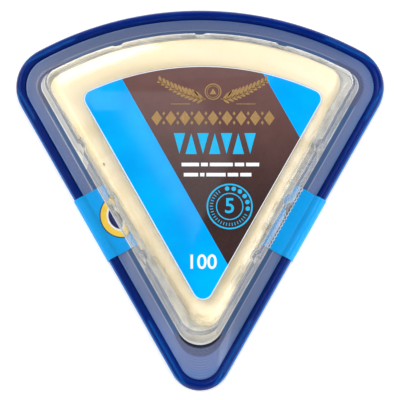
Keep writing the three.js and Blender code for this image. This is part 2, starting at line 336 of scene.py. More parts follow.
def outline(target, plan, z, side, back, shoulder, tip, edges=(180, 26, 110)):
    """Draws one closed outline at height z and returns its edges. The insets from the plan's
    sides and back are in metres, and edges says how many go to the back, a corner and a side.
    It is drawn in a small bmesh of its own, which is quicker, and then added to the target."""
    half = plan["half_angle"]
    across = Vector((sin(half), cos(half)))
    meet = plan["meet_y"] + side / sin(half)
    back_centre = Vector((0, plan["centre_y"], z))
    radius = plan["radius"] - back
    start = Vector((-cos(half) * shoulder, meet + sin(half) * shoulder - plan["centre_y"]))
    lean = start.dot(across)
    reach = -lean + sqrt(lean ** 2 - start.length_squared + (radius - shoulder) ** 2)
    corner = start + across * reach
    corner_angle = atan2(corner.y, corner.x)
    right_centre = Vector((corner.x, corner.y + plan["centre_y"], z))
    left_centre = Vector((-right_centre.x, right_centre.y, z))
    tip_centre = Vector((0, meet + tip / sin(half), z))
    turn = corner_angle + half
    side_end = left_centre + Vector((-cos(half), -sin(half), 0)) * shoulder
    tip_start = tip_centre + Vector((-cos(half), -sin(half), 0)) * tip
    side_run = tip_start - side_end

    bm = bmesh.new()
    vert = bm.verts.new(back_centre + Vector((cos(corner_angle), sin(corner_angle), 0)) * radius)
    first = vert
    vert = spin_on(bm, vert, back_centre, pi - 2 * corner_angle, edges[0])
    vert = spin_on(bm, vert, left_centre, turn, edges[1])
    vert = spin_on(bm, vert, (0, 0, 0), 0, edges[2], side_run / edges[2])
    vert = spin_on(bm, vert, tip_centre, pi - 2 * half, edges[1])
    vert = spin_on(bm, vert, (0, 0, 0), 0, edges[2], Vector((side_run.x, -side_run.y, 0)) / edges[2])
    vert = spin_on(bm, vert, right_centre, turn, edges[1])
    bmesh.ops.weld_verts(bm, targetmap={vert: first})
    mesh = bpy.data.meshes.new("outline")
    bm.to_mesh(mesh)
    bm.free()
    count = len(target.verts)
    target.from_mesh(mesh)
    bpy.data.meshes.remove(mesh)
    target.verts.ensure_lookup_table()
    return walk_round(target.verts[count])


def loft(bm, rings):
    """Bridges each outline to the next, and returns the faces of each row. Neighbours need a
    slight difference in height, because bridging can turn a loop round if both lie in one plane."""
    rows = []
    for lower, upper in zip(rings, rings[1:]):
        rows.append(bmesh.ops.bridge_loops(bm, edges=[*lower, *upper])["faces"])
    return rows


def corner_radii(side):
    """Shoulder and tip radius of the pack's outline at an inset from the rim, in metres. They
    shrink with the bead, then faster across the seal, because the flange widens at its corners."""
    def mix(a, b, t):
        return tuple(x + (y - x) * t for x, y in zip(a, b))
    mm = side / MM
    bead = min(mm, RIM_WIDTH / MM)
    radii = (SHOULDER_RADIUS / MM - bead, TIP_RADIUS / MM - bead)
    radii = mix(radii, FOOT_RADII, min(1, max(0, (mm - bead) / (FOOT_INSET / MM - bead))))
    radii = mix(radii, CREASE_RADII, min(1, max(0, (side - FOOT_INSET) / (CREASE_INSET - FOOT_INSET))))
    return {"shoulder": radii[0] * MM, "tip": radii[1] * MM}


def pack_outline(bm, side, z, back=None, **more):
    """One outline of the pack, at an inset from the rim."""
    back = side if back is None else back
    return outline(bm, PACK_PLAN, z, side, back, **corner_radii(side), **more)


for inset in (0, RIM_WIDTH, FOOT_INSET, CREASE_INSET):
    radii = {corner: round(radius / MM, 1) for corner, radius in corner_radii(inset).items()}
    print("inset", round(inset / MM, 1), "mm, corner radii", radii)


# %% [markdown]
# ## Where a point lies on the plan
#
# The notches, the ridges near the corners and the thin lip all follow the rim. This helper says,
# for any point, how far it is from the nearest edge, how far it has come along that edge, and
# which way is inwards. It lets later steps shape a finished loft by moving its vertices.

# %% Place on the plan
def plan_place(point):
    """(inset, along, inward, edge) of a point. Along is measured from where the sides would meet,
    or as an angle from the middle of the back."""
    half = HALF_ANGLE
    x, y = abs(point.x), point.y - PACK_PLAN["meet_y"]
    side_inset = y * sin(half) - x * cos(half)
    from_centre = Vector((point.x, point.y - PACK_PLAN["centre_y"]))
    back_inset = BACK_RADIUS - from_centre.length
    if back_inset < side_inset:
        return back_inset, atan2(point.x, from_centre.y), Vector((*(-from_centre.normalized()), 0)), "back"
    inward = Vector((-cos(half) if point.x > 0 else cos(half), sin(half), 0))
    return side_inset, x * sin(half) + y * cos(half), inward, "side"


def smooth(t):
    """0 below 0, 1 above 1, and an even S between."""
    t = min(1.0, max(0.0, t))
    return t * t * (3 - 2 * t)


middle_inset, _, _, nearest = plan_place(Vector((0, 0, 0)))
print("the middle lies", round(middle_inset / MM, 1), "mm inside the", nearest)


# %% [markdown]
# ## Finishing a mesh
#
# A mesh becomes a piece when its faces point outwards, its shading is smooth except at real
# edges, and the frame knows its body and the node that it stands for.

# %% From bmesh to piece
def to_object(name, bm, recalculate=True):
    """Makes an object from a bmesh, at the world's origin."""
    if recalculate:
        bmesh.ops.recalc_face_normals(bm, faces=bm.faces)
    mesh = bpy.data.meshes.new(name)
    bm.to_mesh(mesh)
    bm.free()
    made = bpy.data.objects.new(name, mesh)
    bpy.context.scene.collection.objects.link(made)
    return made


def shade(piece, degrees=40):
    """Smooth shading, with a hard edge where faces turn by more than this. Wide flat caps stay
    flat, so that they do not borrow the tilt of the rounding beside them."""
    for polygon in piece.data.polygons:
        polygon.use_smooth = polygon.loop_total <= 4
    piece.data.set_sharp_from_angle(angle=radians(degrees))


def apply_modifiers(piece):
    """Writes the modifiers' result into the piece's mesh."""
    bpy.context.view_layer.update()
    seen = piece.evaluated_get(bpy.context.evaluated_depsgraph_get())
    mesh = bpy.data.meshes.new_from_object(seen)
    mesh.name = piece.name
    piece.modifiers.clear()
    piece.data = mesh


def place_piece(piece, slot, *materials, node_name=None):
    """Gives a piece its materials, body and the node that it stands for. The slot argument is not used."""
    for material in materials:
        piece.data.materials.append(material)
    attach(piece, "root")
    if node_name:
        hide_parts(node_name)
    low = [min(v.co[i] for v in piece.data.vertices) / MM for i in range(3)]
    high = [max(v.co[i] for v in piece.data.vertices) / MM for i in range(3)]
    print(piece.name, len(piece.data.polygons), "faces", [round(v, 2) for v in low + high])


print("steps", [step.__name__ for step in (to_object, shade, apply_modifiers, place_piece)])


# %% [markdown]
# ## The floor
#
# A plain white sweep. It is much wider than the view, so the frame holds nothing else. It is lit
# a little from below, like a light table, which keeps the shadow round the pack very faint.

# %% Floor
def make_floor():
    bm = bmesh.new()
    bmesh.ops.create_grid(bm, x_segments=2, y_segments=2, size=3)
    floor = to_object("floor", bm, recalculate=False)
    material, tree, shader, place = new_material("white_sweep")
    cloud = noise_of(tree, place, 3, 2)
    tree.links.new(blend_colours(tree, cloud, (0.9, 0.9, 0.9, 1), (0.94, 0.94, 0.94, 1)),
                   shader.inputs["Base Color"])
    shader.inputs["Roughness"].default_value = 0.7
    shader.inputs["Emission Color"].default_value = (1.0, 1.0, 1.0, 1.0)
    shader.inputs["Emission Strength"].default_value = 0.3
    floor.data.materials.append(material)
    print("floor", [round(v, 1) for v in floor.dimensions], "m")


make_floor()

# %% [markdown]
# ## Tray
#
# The real tray is one sheet of deep blue plastic, pressed hot over a mould: a flat floor and a
# flat sealing land inside a rolled bead that stiffens the rim, with a thin lip turned down
# outside it. Lofting outlines along the bead's section is the same idea as the mould. The sheet
# is thinnest at the lip, where light comes through; the brighter blue there is a painted highlight.

# %% Tray shape
TRAY_UNDER = BACK_LOW.z + 0.32 * MM
LAND = TRAY_LOW.z + 0.7 * MM
BEAD_TOP = TRAY_HIGH.z
LIP_BOTTOM = TRAY_LOW.z + 0.1 * MM
CORNER_RIDGE_HEIGHT = 0.32 * MM


def corner_share(along, edge):
    """1 near a corner of the rim and 0 along the middle of an edge."""
    if edge == "back":
        return smooth((abs(along) - radians(21.5)) / radians(1.2))
    near_tip = smooth((38 * MM - along) / (2 * MM))
    near_shoulder = smooth((along - 112 * MM) / (2 * MM))
    return max(near_tip, near_shoulder)


def make_tray():
    """Follows the tray's section, from under the floor round the lip and bead to the land. Each
    point is an inset from the rim and a rise from a named level, both in millimetres."""
    bm = bmesh.new()
    section = [
        (3.0, TRAY_UNDER, 0), (2.75, TRAY_UNDER, 0.02),
        (2.6, BEAD_TOP, -1.5), (2.2, BEAD_TOP, -0.85), (1.6, BEAD_TOP, -0.6), (1.15, BEAD_TOP, -0.75),
        (0.75, BEAD_TOP, -1.2), (0.35, LIP_BOTTOM, 0.02), (0.1, LIP_BOTTOM, -0.05), (0.0, LIP_BOTTOM, 0.12),
        (0.12, LIP_BOTTOM, 0.55), (0.38, BEAD_TOP, -0.85), (0.7, BEAD_TOP, -0.35), (0.95, BEAD_TOP, -0.1),
        (1.2, BEAD_TOP, -0.01), (1.5, BEAD_TOP, 0), (1.8, BEAD_TOP, -0.02), (2.1, BEAD_TOP, -0.1),
        (2.4, BEAD_TOP, -0.25), (2.7, BEAD_TOP, -0.55), (2.95, BEAD_TOP, -0.95),
        (3.1, LAND, 0.25), (3.25, LAND, 0.04), (3.45, LAND, 0),
    ]
    rings = [pack_outline(bm, inset * MM, level + rise * MM) for inset, level, rise in section]
    loft(bm, rings)
    bmesh.ops.edgeloop_fill(bm, edges=rings[0])
    bmesh.ops.edgeloop_fill(bm, edges=rings[-1])
    for vert in bm.verts:
        inset, along, _, edge = plan_place(vert.co)
        top = vert.co.z > BEAD_TOP - 0.7 * MM and inset < 2.8 * MM
        if top:
            groove = exp(-((inset - 1.75 * MM) / (0.33 * MM)) ** 2)
            vert.co.z -= CORNER_RIDGE_HEIGHT * groove * corner_share(along, edge)
    tray = to_object("tray", bm)
    shade(tray)
    return tray


TRAY = make_tray()
print("tray section swept,", len(TRAY.data.vertices), "points")

# %% [markdown]
# ## Tray finish
#
# The plastic is dyed through, so the body is one deep navy with a soft cloud in it. Two places
# get a painted highlight in paler blue: the thin outer lip, for light coming through it, and a
# stripe on the bead beside each corner. Both are stored on the mesh as values at its points.

# %% Tray material
def make_tray_material():
    material, tree, shader, place = new_material("deep_blue_plastic")
    height, roughness = handling_marks(tree, place, 0.5, 0.3, 0.2)
    z = node(tree, "ShaderNodeSeparateXYZ", Vector=place).outputs["Z"]
    # mask for the painted highlight on the outer lip
    lip = ramp(tree, z, BEAD_TOP - 0.35 * MM, BEAD_TOP - 1.3 * MM)
    edge = attribute(tree, "lip")
    lip = math(tree, "MULTIPLY", lip, edge)
    painted_ridge_highlight = attribute(tree, "painted_ridge_highlight")
    cloud = noise_of(tree, place, 120, 3)
    body = blend_colours(tree, cloud, srgb(0, 26, 108), srgb(0, 40, 126))
    # painted highlight: a paler blue stripe on the bead beside the corners
    body = blend_colours(tree, painted_ridge_highlight, body, srgb(0, 78, 160))
    # painted highlight: the brighter blue of the thin outer lip
    painted_lip_highlight = blend_colours(tree, cloud, srgb(0, 104, 188), srgb(22, 132, 214))
    tree.links.new(blend_colours(tree, lip, body, painted_lip_highlight), shader.inputs["Base Color"])
    tree.links.new(roughness, shader.inputs["Roughness"])
    shader.inputs["Specular IOR Level"].default_value = 0.12
    tree.links.new(bump(tree, height, 0.05 * MM, 0.3), shader.inputs["Normal"])
    return material


def mark_rim(piece):
    """Stores the strength of the painted highlight on the rim's outer lip, weaker along the back,
    and of the painted highlight stripe on the bead beside the corners."""
    lip = piece.data.attributes.new("lip", "FLOAT", "POINT")
    painted_ridge_highlight = piece.data.attributes.new("painted_ridge_highlight", "FLOAT", "POINT")
    for index, vert in enumerate(piece.data.vertices):
        inset, along, _, edge = plan_place(vert.co)
        # the lip's painted highlight is weaker along the back
        painted_lip_shine = 0.35 if edge == "back" else 1
        lip.data[index].value = painted_lip_shine * smooth((1.2 * MM - inset) / (0.5 * MM))
        band = exp(-((inset - 1.65 * MM) / (0.4 * MM)) ** 2)
        painted_ridge_highlight.data[index].value = band * corner_share(along, edge) * (vert.co.z > LAND)


mark_rim(TRAY)
place_piece(TRAY, "tray_plastic", make_tray_material(), node_name="base_tray")

# %% [markdown]
# ## Liner
#
# A pad of soft white paper lies on the tray and drinks up whey. Its edge turns up a little
# against the lid's wall. It is embossed with small dimples so that its plies hold together. A
# sheet cut into a fine grid and pressed in at each dimple gives the same surface.

# %% Liner shape
LINER_INSET = 9.4 * MM
DIMPLE_PITCH = 2.2 * MM
DIMPLE_DEPTH = 0.14 * MM


def make_liner():
    bm = bmesh.new()
    low = TRAY_LOW.z + 0.72 * MM
    high = LINER_HIGH.z - 0.2 * MM
    levels = [(0.5, low), (0.15, low + 0.12 * MM), (0.05, low + 1.2 * MM), (0.0, low + 2.3 * MM),
              (0.08, low + 2.4 * MM), (0.25, low + 1.4 * MM), (0.6, high + 0.15 * MM), (1.1, high)]
    rings = [pack_outline(bm, LINER_INSET + inset * MM, z, edges=(60, 8, 60)) for inset, z in levels]
    loft(bm, rings)
    bmesh.ops.edgeloop_fill(bm, edges=rings[0])
    top = bmesh.ops.edgeloop_fill(bm, edges=rings[-1])["faces"]
    for axis in ((1, 0, 0), (0, 1, 0)):
        for step in range(-62, 63):
            around = {g for face in top for g in (face, *face.edges, *face.verts)}
            bmesh.ops.bisect_plane(bm, geom=list(around), dist=1e-7, plane_no=axis,
                                   plane_co=Vector(axis) * step * DIMPLE_PITCH / 3)
            top = [face for face in bm.faces if face.normal.z > 0.99]
    for vert in bm.verts:
        if vert.co.z > high - 0.01 * MM:
            wave = cos(2 * pi * vert.co.x / DIMPLE_PITCH) * cos(2 * pi * vert.co.y / DIMPLE_PITCH)
            rumple = noise.noise(vert.co * 90) * 0.15 * MM
            vert.co.z += rumple - DIMPLE_DEPTH * max(0, wave)
    liner = to_object("liner_pad", bm)
    shade(liner, 60)
    return liner


def make_liner_material():
    material, tree, shader, place = new_material("damp_paper_pad")
    fibres = noise_of(tree, place, 2600, 5, 0.7)
    patches = ramp(tree, noise_of(tree, place, 85, 4, 0.6), 0.4, 0.62)
    dry_paper_and_wall_shade = blend_colours(tree, fibres, srgb(188, 188, 190), srgb(212, 212, 213))
    damp = blend_colours(tree, fibres, srgb(120, 124, 130), srgb(158, 160, 165))
    tree.links.new(blend_colours(tree, patches, dry_paper_and_wall_shade, damp), shader.inputs["Base Color"])
    tree.links.new(ramp(tree, patches, 0, 1, 0.85, 0.3), shader.inputs["Roughness"])
    tree.links.new(bump(tree, fibres, 0.08 * MM, 0.6), shader.inputs["Normal"])
    return material


place_piece(make_liner(), "liner_sheet", make_liner_material(), node_name="liner")

# %% [markdown]
# ## Cheese
#
# The wedge is a sixth of a round wheel. Its top was the wheel's pressed face, smooth and pale;
# its two sides were cut with a wire and show crumbly curd with blue-green veins and small
# hollows; its back is the wheel's outer wall, a little askew. The tip has broken off blunt. The
# body is lofted, remeshed to even small faces, and then worn by moving each vertex along its
# normal.

# %% Cheese shape
WHEEL_RADIUS = 98.5 * MM
CHEESE_PLAN = {"half_angle": radians(29.6), "radius": WHEEL_RADIUS, "centre_y": 0.0, "meet_y": 0.0}
WHEEL_CENTRE = Vector((3.1, -48.1, 0)) * MM
CHEESE_TURN = radians(2.9)
BACK_ASKEW = 2.3 * MM
CHEESE_VOXEL = 0.75 * MM
SPOT = Vector((-31.7, 7.9, CHEESE_HIGH.z / MM - 0.5)) * MM
SPOT_RADIUS = 1.15 * MM


def cheese_wear(point, normal):
    """How far a point of the even wedge moves along its normal, in metres."""
    from_wheel = hypot(point.x - WHEEL_CENTRE.x, point.y - WHEEL_CENTRE.y)
    upright = 1 - min(1, abs(normal.z) * 1.4)
    is_back = smooth((from_wheel - WHEEL_RADIUS + 3 * MM) / (2 * MM)) * upright
    is_cut = upright * (1 - is_back)
    broad = noise.noise(point * 55) * 0.35 * MM
    curd = noise.fractal(point * 420, 1.0, 2.1, 4) * 0.16 * MM
    vein = abs(noise.noise(Vector((point.x * 150, point.y * 150, point.z * 210))))
    hollow = smooth((0.10 - vein) / 0.07) * smooth((noise.noise(point * 70) - 0.02) / 0.25)
    pit = smooth((noise.noise(point * 600) - 0.45) / 0.2) * 0.12 * MM
    spot = smooth(1 - hypot(point.x - SPOT.x, point.y - SPOT.y) / SPOT_RADIUS)
    moved = broad * (0.4 + 0.6 * is_cut) - pit * 0.6 - spot * 0.5 * MM
    return moved + curd * (0.25 + is_cut) - hollow * 0.9 * MM * is_cut


def make_cheese():
    bm = bmesh.new()
    low, high = LINER_HIGH.z - 0.12 * MM, CHEESE_HIGH.z - 0.25 * MM
    height = high - low
    levels = [(1.0, 0.6, 0), (0.2, -0.2, 0.01), (-0.2, -0.6, 0.05), (-0.2, -0.4, 0.3), (-0.1, 0.2, 0.65),
              (0.15, 0.65, 0.82), (0.55, 0.95, 0.9), (1.2, 1.35, 0.955), (2.2, 1.9, 0.99), (3.5, 2.9, 1.0)]
    rings = [
        outline(bm, CHEESE_PLAN, low + up * height, side * MM, back * MM, 4.5 * MM, 5.8 * MM, (70, 8, 60))
        for side, back, up in levels
    ]
    loft(bm, rings)
    bmesh.ops.edgeloop_fill(bm, edges=rings[0])
    bmesh.ops.edgeloop_fill(bm, edges=rings[-1])
    bmesh.ops.rotate(bm, verts=bm.verts, cent=(0, 0, 0), matrix=Matrix.Rotation(CHEESE_TURN, 3, "Z"))
    bmesh.ops.translate(bm, verts=bm.verts, vec=WHEEL_CENTRE)
    for vert in bm.verts:
        reach = Vector((vert.co.x - WHEEL_CENTRE.x, vert.co.y - WHEEL_CENTRE.y, 0)) / WHEEL_RADIUS
        vert.co -= reach * reach.x * BACK_ASKEW * smooth(reach.length)
    cheese = to_object("cheese", bm)
    remesh = cheese.modifiers.new("even_faces", "REMESH")
    remesh.mode = "VOXEL"
    remesh.voxel_size = CHEESE_VOXEL
    apply_modifiers(cheese)

    bm = bmesh.new()
    bm.from_mesh(cheese.data)
    bmesh.ops.smooth_vert(bm, verts=bm.verts, factor=0.5, use_axis_x=True, use_axis_y=True, use_axis_z=True)
    bm.normal_update()
    moves = [(vert, vert.normal * cheese_wear(vert.co, vert.normal)) for vert in bm.verts]
    for vert, move in moves:
        vert.co += move
        vert.co.z = max(vert.co.z, low)
    bm.to_mesh(cheese.data)
    bm.free()
    shade(cheese, 80)
    return cheese


CHEESE = make_cheese()
print("cheese worn,", len(CHEESE.data.vertices), "points")

# %% [markdown]
# ## Cheese finish
#
# The paste is cream, in faint rings left by the mould, with grains of curd. Blue-green veins run
# through the cut faces and fade at the wheel's outside. One brown spot lies near the left edge.
# All of it comes from noise and from the distance to the wheel's centre, so it needs no image.

# %% Cheese material
def make_cheese_material():
    material, tree, shader, place = new_material("blue_cheese")
    place_z = node(tree, "ShaderNodeSeparateXYZ", Vector=place).outputs["Z"]
    side = ramp(tree, place_z, CHEESE_HIGH.z - 2.2 * MM, CHEESE_HIGH.z - 5.0 * MM)
    flat = vector_math(tree, "SUBTRACT", place, tuple(WHEEL_CENTRE)).outputs[0]
    flat = vector_math(tree, "MULTIPLY", flat, (1, 1, 0)).outputs[0]
    from_wheel = vector_math(tree, "LENGTH", flat).outputs["Value"]

    rings = node(tree, "ShaderNodeCombineXYZ", X=math(tree, "MULTIPLY", from_wheel, 3.0)).outputs[0]
    drift = vector_math(tree, "SCALE", place)
    drift.inputs["Scale"].default_value = 0.35
    streak_place = vector_math(tree, "ADD", rings, drift.outputs[0]).outputs[0]
    streaks = noise_of(tree, streak_place, 90, 4, 0.55)
    broad = noise_of(tree, place, 45, 3)
    curd = noise_of(tree, place, 700, 5, 0.65)
    paste = blend_colours(tree, ramp(tree, streaks, 0.3, 0.7), srgb(219, 202, 166), srgb(229, 215, 187))
    ripe = math(tree, "MULTIPLY", ramp(tree, broad, 0.35, 0.75), 0.5)
    paste = blend_colours(tree, ripe, paste, srgb(224, 205, 160))
    grains = math(tree, "MULTIPLY", ramp(tree, curd, 0.55, 0.8), 0.3)
    paste = blend_colours(tree, grains, paste, srgb(242, 230, 204))

    warped = node(tree, "ShaderNodeTexNoise", Vector=place, Scale=110.0, Detail=4.0, Roughness=0.6,
                  Distortion=0.8).outputs["Fac"]
    vein = ramp(tree, math(tree, "ABSOLUTE", math(tree, "SUBTRACT", warped, 0.5)), 0.045, 0.0)
    patch = ramp(tree, noise_of(tree, place, 60, 3), 0.46, 0.66)
    veins = math(tree, "MULTIPLY", math(tree, "MULTIPLY", vein, patch), side)
    rind = ramp(tree, from_wheel, WHEEL_RADIUS - 3 * MM, WHEEL_RADIUS - 1 * MM)
    veins = math(tree, "MULTIPLY", veins, ramp(tree, rind, 0, 1, 1, 0.25))
    mould = blend_colours(tree, curd, srgb(58, 82, 80), srgb(128, 150, 140))
    colour = blend_colours(tree, veins, paste, mould)

    spot_far = vector_math(tree, "DISTANCE", place, tuple(SPOT)).outputs["Value"]
    ragged = math(tree, "ADD", spot_far, math(tree, "MULTIPLY", noise_of(tree, place, 900, 3), 1.3 * MM))
    spot = ramp(tree, ragged, 2.0 * MM, 1.45 * MM)
    colour = blend_colours(tree, spot, colour, srgb(78, 76, 54))
    tree.links.new(colour, shader.inputs["Base Color"])
    tree.links.new(ramp(tree, curd, 0.3, 0.7, 0.42, 0.6), shader.inputs["Roughness"])
    shader.inputs["Subsurface Weight"].default_value = 0.12
    shader.inputs["Subsurface Radius"].default_value = (1.0, 0.8, 0.5)
    shader.inputs["Subsurface Scale"].default_value = 2 * MM
    shader.inputs["Specular IOR Level"].default_value = 0.4
    grain = math(tree, "ADD", curd, math(tree, "MULTIPLY", streaks, 0.6))
    tree.links.new(bump(tree, grain, 0.12 * MM, 0.5), shader.inputs["Normal"])
    return material


place_piece(CHEESE, "cheese", make_cheese_material(), node_name="cheese_wedge")

# %% [markdown]
# ## Clear lid
#
# The lid is pressed from clear film: a flange that is welded to the tray, a tight foot, a wall
# that leans in a little, a round crease and a flat top. Nine shallow upright notches in the wall
# stop stacked lids from jamming. The outer skin is lofted, its notches are pushed in, the weld's
# knurl is raised face by face, and one solidify step gives the film its thickness.

# %% Lid shape
FILM = 0.3 * MM
FLANGE = LAND + FILM + 0.02 * MM
KNURL_START, KNURL_END = 3.55 * MM, 6.6 * MM
KNURL_HEIGHT = 0.07 * MM
CLEAN_BAND_RISE = 0.12 * MM
SLOPE = 0.005 * MM
SIDE_LEAN, BACK_LEAN = 0.9 * MM, 2.6 * MM
CREASE_DROP = 5.0 * MM
LUG_LENGTH, LUG_FLANK, LUG_DEPTH = 3.8 * MM, 0.8 * MM, 0.8 * MM
SIDE_LUGS = (54.0 * MM, 74.7 * MM, 95.4 * MM)
BACK_LUGS = (radians(-15.6), 0.0, radians(15.6))
LID_EDGES = (230, 26, 190)
KNURL_ROWS = 8
CLEAN_BAND = ((6.75, 0.6), (6.9, 0.9), (7.6, 0.95), (8.1, 0.98), (8.4, 1.0))
FLANGE_ROWS = 1 + KNURL_ROWS + len(CLEAN_BAND)
WALL_ROWS = FLANGE_ROWS + 8
TOP, WELD, WALL, CREASE, PAINTED_BRIGHT_WALL = range(5)
# bounds of the upper left wall patch that gets the cream painted light
PAINTED_BRIGHT_X, PAINTED_BRIGHT_Y = -24 * MM, 10 * MM


def lug_depth(point):
    """How far the wall is pushed in at this point, in metres."""
    _, along, _, edge = plan_place(point)
    if edge == "back":
        gap = min(abs(along - lug) for lug in BACK_LUGS) * BACK_RADIUS
    else:
        gap = min(abs(along - lug) for lug in SIDE_LUGS)
    across = smooth((LUG_LENGTH / 2 - gap) / LUG_FLANK)
    up = smooth((point.z - FLANGE - CLEAN_BAND_RISE) / (0.3 * MM))
    down = smooth((LID_HIGH.z - 0.4 * MM - point.z) / (3.0 * MM))
    return LUG_DEPTH * across * up * down


def near_tip(point):
    """1 inside the tip's round end and 0 along the sides."""
    return smooth((-41 * MM - point.y) / (7 * MM))


def near_shoulder(point):
    """1 at the two back corners and 0 away from them."""
    gap = hypot(abs(point.x) - 52 * MM, point.y - 40 * MM)
    return smooth((12 * MM - gap) / (5 * MM))


def lid_section():
    """Insets along the sides and back, and heights, from the flange's edge to the flat top."""
    section = []
    section.append((3.4 * MM, 3.4 * MM, FLANGE))
    for i in range(KNURL_ROWS + 1):
        inset = KNURL_START + (KNURL_END - KNURL_START) * i / KNURL_ROWS
        section.append((inset, inset, FLANGE + (i + 1) * SLOPE))
    band = FLANGE + CLEAN_BAND_RISE
    for inset, rise in CLEAN_BAND:
        section.append((inset * MM, inset * MM, FLANGE + rise * CLEAN_BAND_RISE))
    foot_radius = FOOT_INSET - CLEAN_BAND[-1][0] * MM
    for turn in (0.3, 0.6, 0.85, 1.0):
        angle = turn * pi / 2
        inset = FOOT_INSET - foot_radius * (1 - sin(angle))
        section.append((inset, inset, band + foot_radius * (1 - cos(angle))))
    wall_bottom = band + foot_radius
    wall_top = LID_HIGH.z - CREASE_DROP
    for i in range(1, 7):
        side = FOOT_INSET + SIDE_LEAN * i / 6
        back = FOOT_INSET + BACK_LEAN * i / 6
        section.append((side, back, wall_bottom + (wall_top - wall_bottom) * i / 6))
    for i in range(1, 11):
        angle = i / 10 * pi / 2
        out = 1 - cos(angle)
        side = FOOT_INSET + SIDE_LEAN + (CREASE_INSET - FOOT_INSET - SIDE_LEAN) * out
        back = FOOT_INSET + BACK_LEAN + (BACK_CREASE_INSET - FOOT_INSET - BACK_LEAN) * out
        section.append((side, back, wall_top + CREASE_DROP * sin(angle)))
    return section


def film_finish(row, centre):
    """Which finish a face of the lid has, from its row in the section and its centre."""
    if row < FLANGE_ROWS:
        return WELD
    if row >= WALL_ROWS:
        return CREASE
    # the upper left side wall gets the nearly opaque cream painted light
    in_painted_bright_patch = centre.x < PAINTED_BRIGHT_X and centre.y > PAINTED_BRIGHT_Y and plan_place(centre)[3] == "side"
    return PAINTED_BRIGHT_WALL if in_painted_bright_patch else WALL


def make_lid():
    """The whole lid. Each point keeps its inset as "zone", how near it is to a corner or to the
    tip, and whether it is the peak of a knurl tooth, and the finishes read these values."""
    bm = bmesh.new()
    zone = bm.verts.layers.float.new("zone")
    rings = []
    for side, back, z in lid_section():
        rings.append(pack_outline(bm, side, z, back, edges=LID_EDGES))
        for vert in {v for edge in rings[-1] for v in edge.verts}:
            vert[zone] = side / MM
    rows = loft(bm, rings)
    bmesh.ops.edgeloop_fill(bm, edges=rings[-1])
    bmesh.ops.recalc_face_normals(bm, faces=bm.faces)
    if sum(face.normal.z for face in bm.faces) < 0:
        bmesh.ops.reverse_faces(bm, faces=bm.faces)
    moves = [(vert, plan_place(vert.co)[2] * lug_depth(vert.co)) for vert in bm.verts]
    for vert, move in moves:
        vert.co += move
    for index, row in enumerate(rows):
        for face in row:
            face.material_index = film_finish(index, face.calc_center_median())
    knurled = [face for row in rows[1:1 + KNURL_ROWS] for face in row]
    tooth = bm.verts.layers.float.new("tooth")
    for vert in bmesh.ops.poke(bm, faces=knurled, offset=KNURL_HEIGHT)["verts"]:
        vert[tooth] = 1
    corner, tip = (bm.verts.layers.float.new(name) for name in ("corner", "tip"))
    for vert in bm.verts:
        vert[tip] = near_tip(vert.co)
        vert[corner] = max(vert[tip], near_shoulder(vert.co))
    lid = to_object("lid", bm, recalculate=False)
    thicken = lid.modifiers.new("film", "SOLIDIFY")
    thicken.thickness = FILM
    thicken.offset = -1
    thicken.use_even_offset = False
    apply_modifiers(lid)
    shade(lid, 50)
    return lid


LID = make_lid()
used_finishes = {polygon.material_index for polygon in LID.data.polygons}
print("lid", len(LID.data.vertices), "points, finishes", sorted(used_finishes))

# %% [markdown]
# ## Lid finishes
#
# The film is one plastic in five states: clear on top, knurled and welded on the flange, thinned
# and slightly wavy on the wall and the crease, and nearly opaque cream painted light on the upper
# left wall, where the cheese touches it. The wall and crease carry painted light, cream at the left and the
# tip, and grey painted shade elsewhere. The clear ones are the same recipe with other numbers. The weld
# scatters light in its teeth, so it looks grey-blue over the tray, and it has painted shade at the tip's
# foot and at the back.

# %% Lid materials
def finish_film(tree, shader):
    """Lets light from the lamps pass straight through a film, so what it covers is lit."""
    through = node(tree, "ShaderNodeBsdfTransparent", Color=(0.96, 0.97, 0.98, 1))
    path = node(tree, "ShaderNodeLightPath").outputs["Is Shadow Ray"]
    mix = node(tree, "ShaderNodeMixShader", i0=path, i1=shader.outputs[0], i2=through.outputs[0])
    tree.links.new(mix.outputs[0], tree.nodes["Material Output"].inputs["Surface"])


def painted_wall_light_and_shade(tree, place):
    """Painted light and shade: a cream tint with blots at the left and the tip, and grey elsewhere."""
    x, y, _ = node(tree, "ShaderNodeSeparateXYZ", Vector=place).outputs
    at_left = ramp(tree, x, -4 * MM, -24 * MM)
    at_tip = ramp(tree, y, -30 * MM, -42 * MM)
    blot = ramp(tree, noise_of(tree, place, 190, 5, 0.65), 0.32, 0.6)
    # painted shade: grey on the wall away from the left and the tip
    dry_paper_and_wall_shade = blend_colours(tree, blot, (0.62, 0.63, 0.62, 1), (0.9, 0.9, 0.88, 1))
    # painted light: cream where the lit cheese shows through the wall
    painted_cream_light = blend_colours(tree, blot, (1, 0.96, 0.82, 1), (1, 0.98, 0.9, 1))
    return blend_colours(tree, math(tree, "MAXIMUM", at_left, at_tip), dry_paper_and_wall_shade, painted_cream_light)


def make_clear_film(name, wave, gloss, clearness, index=1.46, with_painted_wall_light=False):
    """Clear film. With the painted wall light on, it is tinted cream at the left and the tip as painted
    light, and grey elsewhere as painted shade.
    """
    material, tree, shader, place = new_material(name)
    height, roughness = handling_marks(tree, place, wave, 0.4, gloss)
    if with_painted_wall_light:
        tint = painted_wall_light_and_shade(tree, place)
    else:
        tint = blend_colours(tree, noise_of(tree, place, 300, 3), (0.95, 0.96, 0.97, 1), (1, 1, 1, 1))
    tree.links.new(tint, shader.inputs["Base Color"])
    shader.inputs["Transmission Weight"].default_value = clearness
    shader.inputs["IOR"].default_value = index
    tree.links.new(roughness, shader.inputs["Roughness"])
    tree.links.new(bump(tree, height, 0.12 * MM, 0.5), shader.inputs["Normal"])
    finish_film(tree, shader)
    return material


